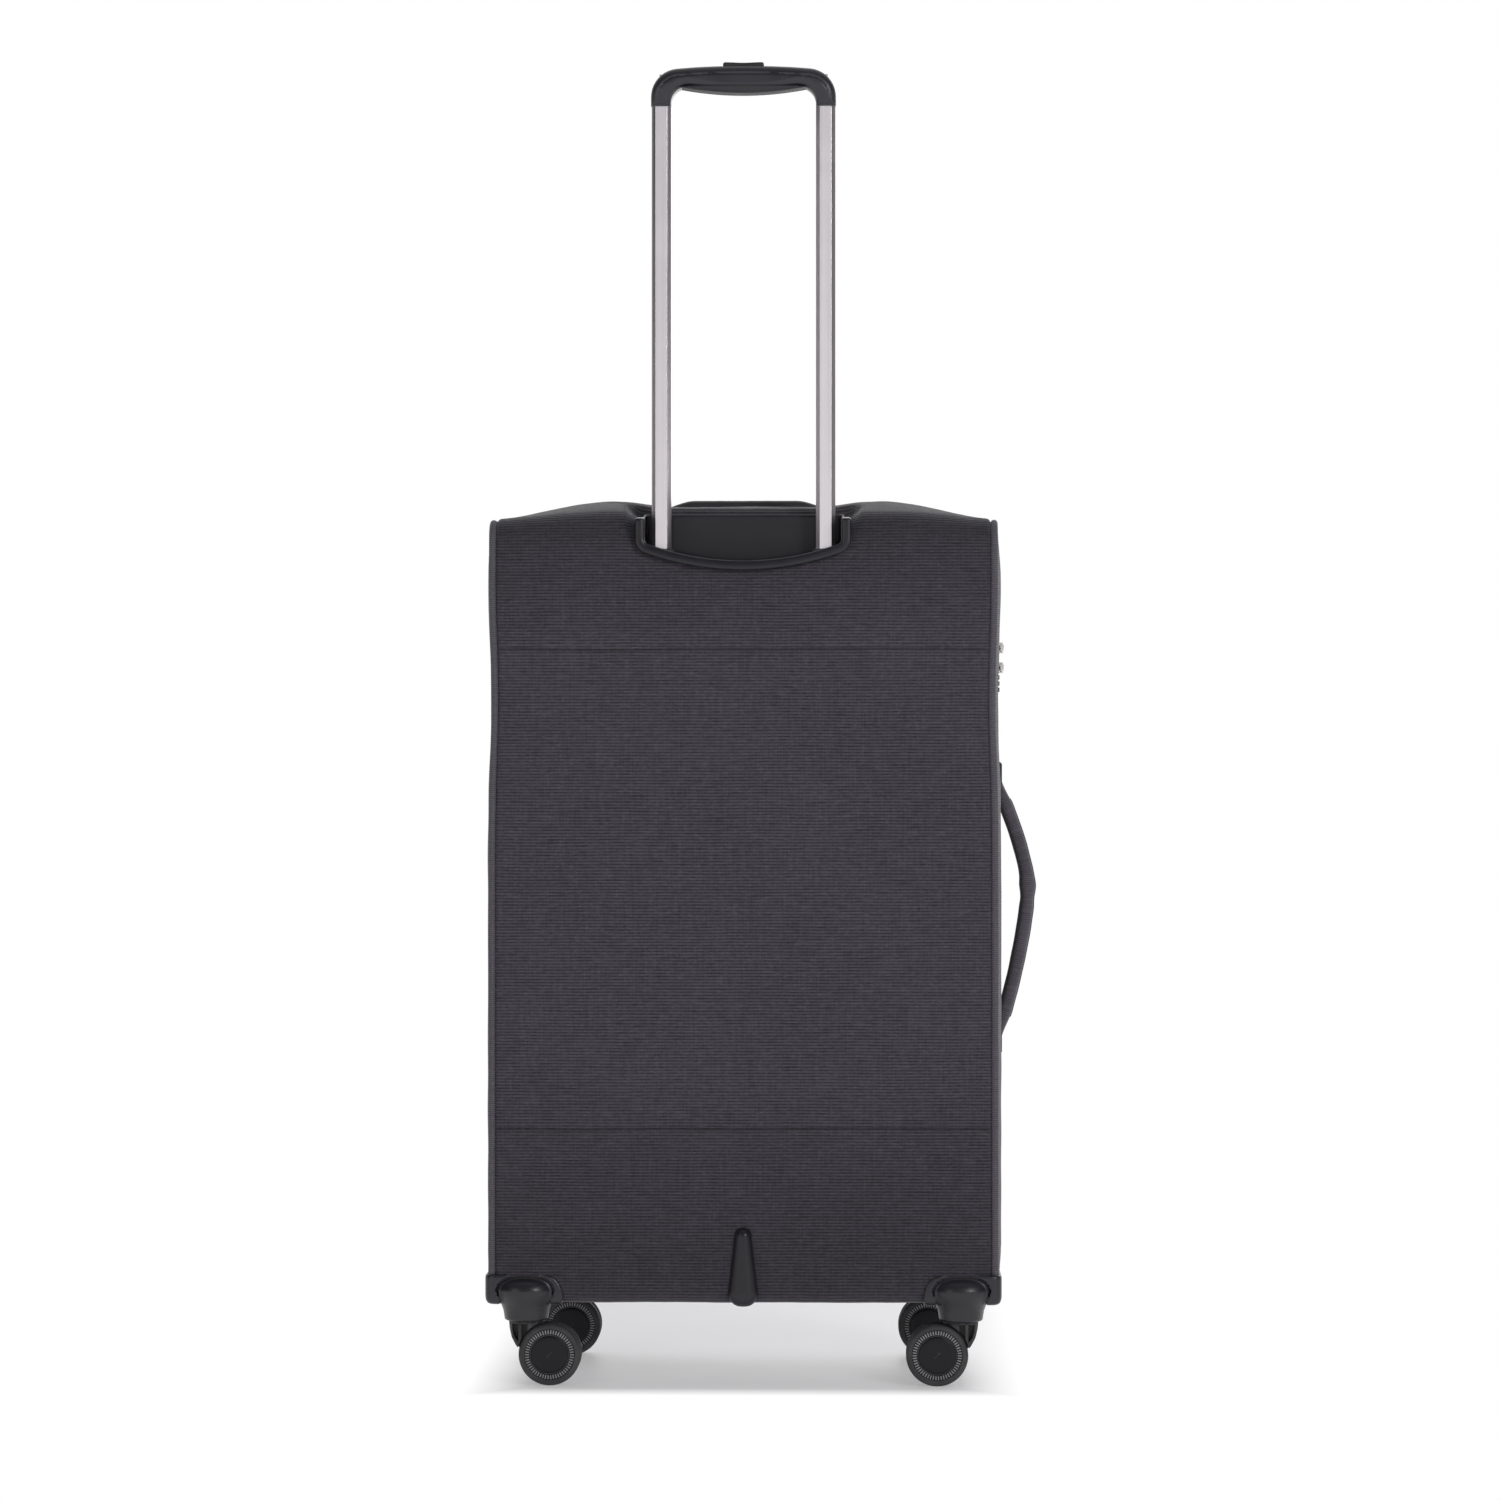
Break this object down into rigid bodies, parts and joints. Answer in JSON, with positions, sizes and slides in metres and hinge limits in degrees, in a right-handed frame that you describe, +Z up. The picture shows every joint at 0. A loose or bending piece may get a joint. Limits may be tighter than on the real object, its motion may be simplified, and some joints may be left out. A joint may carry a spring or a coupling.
{
  "type": "softside upright suitcase",
  "caption": "Softside upright suitcase with a side-opening lid, front pockets, pull handle, carry handles and swivelling twin-wheel casters.",
  "frame": {"origin": "on the floor, under the middle of the bounding box", "axes": "+Z up; +X towards the side carry handle; -Y is the rear, where the pull handle is, and +Y is the lid"},
  "size_m": [0.4276, 0.2637, 1.022],
  "materials": {
    "fabric": "woven, matt",
    "board": "matt",
    "black_plastic": "satin moulded",
    "handle_rubber": "soft, matt",
    "fork_plastic": "moulded",
    "wheel": "smooth",
    "anodised": "satin anodised",
    "steel": "plain",
    "zip": "woven tape with coil",
    "zip_metal": "polished",
    "dial": "satin"
  },
  "bodies": {
    "case": {"rear_panel": "fabric", "left_panel": "fabric", "right_panel": "fabric", "top_panel": "fabric", "bottom_panel": "fabric", "back_board": "board", "wire_frame": "steel", "trolley_bezel": "black_plastic", "outer_tubes": "steel", "trolley_foot": "black_plastic", "top_carry_handle": "handle_rubber", "side_carry_handle": "fabric", "handle_anchors": "steel", "skid_guard": "black_plastic", "swivel_pins": "steel", "housing_screws": "steel", "lock_body": "black_plastic", "case_zip": "zip", "corner_housing_rl": "black_plastic", "corner_housing_rr": "black_plastic", "corner_housing_fl": "black_plastic", "corner_housing_fr": "black_plastic"},
    "lid": {"lid_panel": "fabric", "lid_gusset": "fabric", "upper_pocket": "fabric", "lower_pocket": "fabric", "lid_zip": "zip"},
    "pull_handle": {"inner_tube_left": "anodised", "inner_tube_right": "anodised", "grip": "black_plastic"},
    "button": {"push_button": "black_plastic", "push_rods": "steel"},
    "pin_left": {"lock_pin_left": "steel"},
    "pin_right": {"lock_pin_right": "steel"},
    "upper_slider": {"upper_zip_slider": "zip_metal"},
    "upper_pull": {"upper_zip_pull": "zip_metal"},
    "lower_slider": {"lower_zip_slider": "zip_metal"},
    "lower_pull": {"lower_zip_pull": "zip_metal"},
    "upper_pocket_zip": {"upper_pocket_slider": "zip_metal"},
    "lower_pocket_zip": {"lower_pocket_slider": "zip_metal"},
    "dial_1": {"lock_dial_1": "dial"},
    "dial_2": {"lock_dial_2": "dial"},
    "dial_3": {"lock_dial_3": "dial"},
    "release": {"lock_release": "zip_metal"},
    "caster_rl": {"fork_rl": "fork_plastic", "axle_rl": "steel"},
    "outer_wheel_body_rl": {"outer_wheel_rl": "wheel"},
    "inner_wheel_body_rl": {"inner_wheel_rl": "wheel"},
    "caster_rr": {"fork_rr": "fork_plastic", "axle_rr": "steel"},
    "outer_wheel_body_rr": {"outer_wheel_rr": "wheel"},
    "inner_wheel_body_rr": {"inner_wheel_rr": "wheel"},
    "caster_fl": {"fork_fl": "fork_plastic", "axle_fl": "steel"},
    "outer_wheel_body_fl": {"outer_wheel_fl": "wheel"},
    "inner_wheel_body_fl": {"inner_wheel_fl": "wheel"},
    "caster_fr": {"fork_fr": "fork_plastic", "axle_fr": "steel"},
    "outer_wheel_body_fr": {"outer_wheel_fr": "wheel"},
    "inner_wheel_body_fr": {"inner_wheel_fr": "wheel"}
  },
  "joints": [
    {"name": "handle_slide", "type": "slide", "parent": "case", "child": "pull_handle", "axis": [0, 0, 1], "range_m": [-0.338, 0]},
    {"name": "button_press", "type": "slide", "parent": "pull_handle", "child": "button", "axis": [0, 0, -1], "range_m": [0, 0.0035], "stiffness_N_per_m": 600, "springref_m": -0.004},
    {"name": "left_pin_draw", "type": "slide", "parent": "pull_handle", "child": "pin_left", "axis": [1, 0, 0], "range_m": [0, 0.003]},
    {"name": "right_pin_draw", "type": "slide", "parent": "pull_handle", "child": "pin_right", "axis": [-1, 0, 0], "range_m": [0, 0.003]},
    {"name": "lid_hinge", "type": "hinge", "parent": "case", "child": "lid", "pos_m": [-0.21075, 0.084, 0.385], "axis": [0, 0, 1], "range_deg": [0, 165]},
    {"name": "upper_zip_slide", "type": "slide", "parent": "case", "child": "upper_slider", "axis": [0, 0, 1], "range_m": [0, 0.07]},
    {"name": "upper_pull_hinge", "type": "hinge", "parent": "upper_slider", "child": "upper_pull", "pos_m": [0.18985, 0.084, 0.573], "axis": [0, 0, 1], "range_deg": [0, 170]},
    {"name": "lower_zip_slide", "type": "slide", "parent": "case", "child": "lower_slider", "axis": [0, 0, 1], "range_m": [-0.44, 0]},
    {"name": "lower_pull_hinge", "type": "hinge", "parent": "lower_slider", "child": "lower_pull", "pos_m": [0.18985, 0.084, 0.557], "axis": [0, 0, 1], "range_deg": [0, 170]},
    {"name": "upper_pocket_zip_slide", "type": "slide", "parent": "lid", "child": "upper_pocket_zip", "axis": [1, 0, 0], "range_m": [-0.29, 0]},
    {"name": "lower_pocket_zip_slide", "type": "slide", "parent": "lid", "child": "lower_pocket_zip", "axis": [1, 0, 0], "range_m": [-0.29, 0]},
    {"name": "dial_1_turn", "type": "hinge", "parent": "case", "child": "dial_1", "pos_m": [0.18325, 0.068, 0.539], "axis": [0, 0, 1], "continuous": true},
    {"name": "dial_2_turn", "type": "hinge", "parent": "case", "child": "dial_2", "pos_m": [0.18325, 0.068, 0.544], "axis": [0, 0, 1], "continuous": true},
    {"name": "dial_3_turn", "type": "hinge", "parent": "case", "child": "dial_3", "pos_m": [0.18325, 0.068, 0.549], "axis": [0, 0, 1], "continuous": true},
    {"name": "release_slide", "type": "slide", "parent": "case", "child": "release", "axis": [0, 0, 1], "range_m": [0, 0.003], "stiffness_N_per_m": 300, "springref_m": -0.003},
    {"name": "caster_rl_swivel", "type": "hinge", "parent": "case", "child": "caster_rl", "pos_m": [-0.18175, -0.108, 0.045], "axis": [0, 0, 1], "continuous": true},
    {"name": "outer_wheel_rl_spin", "type": "hinge", "parent": "caster_rl", "child": "outer_wheel_body_rl", "pos_m": [-0.16325, -0.117, 0.024], "axis": [0, 1, 0], "continuous": true},
    {"name": "inner_wheel_rl_spin", "type": "hinge", "parent": "caster_rl", "child": "inner_wheel_body_rl", "pos_m": [-0.16325, -0.099, 0.024], "axis": [0, 1, 0], "continuous": true},
    {"name": "caster_rr_swivel", "type": "hinge", "parent": "case", "child": "caster_rr", "pos_m": [0.15425, -0.108, 0.045], "axis": [0, 0, 1], "continuous": true},
    {"name": "outer_wheel_rr_spin", "type": "hinge", "parent": "caster_rr", "child": "outer_wheel_body_rr", "pos_m": [0.13575, -0.117, 0.024], "axis": [0, 1, 0], "continuous": true},
    {"name": "inner_wheel_rr_spin", "type": "hinge", "parent": "caster_rr", "child": "inner_wheel_body_rr", "pos_m": [0.13575, -0.099, 0.024], "axis": [0, 1, 0], "continuous": true},
    {"name": "caster_fl_swivel", "type": "hinge", "parent": "case", "child": "caster_fl", "pos_m": [-0.17675, 0.1, 0.045], "axis": [0, 0, 1], "continuous": true},
    {"name": "outer_wheel_fl_spin", "type": "hinge", "parent": "caster_fl", "child": "outer_wheel_body_fl", "pos_m": [-0.15825, 0.109, 0.024], "axis": [0, 1, 0], "continuous": true},
    {"name": "inner_wheel_fl_spin", "type": "hinge", "parent": "caster_fl", "child": "inner_wheel_body_fl", "pos_m": [-0.15825, 0.091, 0.024], "axis": [0, 1, 0], "continuous": true},
    {"name": "caster_fr_swivel", "type": "hinge", "parent": "case", "child": "caster_fr", "pos_m": [0.14925, 0.1, 0.045], "axis": [0, 0, 1], "continuous": true},
    {"name": "outer_wheel_fr_spin", "type": "hinge", "parent": "caster_fr", "child": "outer_wheel_body_fr", "pos_m": [0.13075, 0.109, 0.024], "axis": [0, 1, 0], "continuous": true},
    {"name": "inner_wheel_fr_spin", "type": "hinge", "parent": "caster_fr", "child": "inner_wheel_body_fr", "pos_m": [0.13075, 0.091, 0.024], "axis": [0, 1, 0], "continuous": true}
  ],
  "couplings": [
    {"joint": "left_pin_draw", "follows": "button_press", "ratio": 0.85},
    {"joint": "right_pin_draw", "follows": "button_press", "ratio": 0.85}
  ]
}
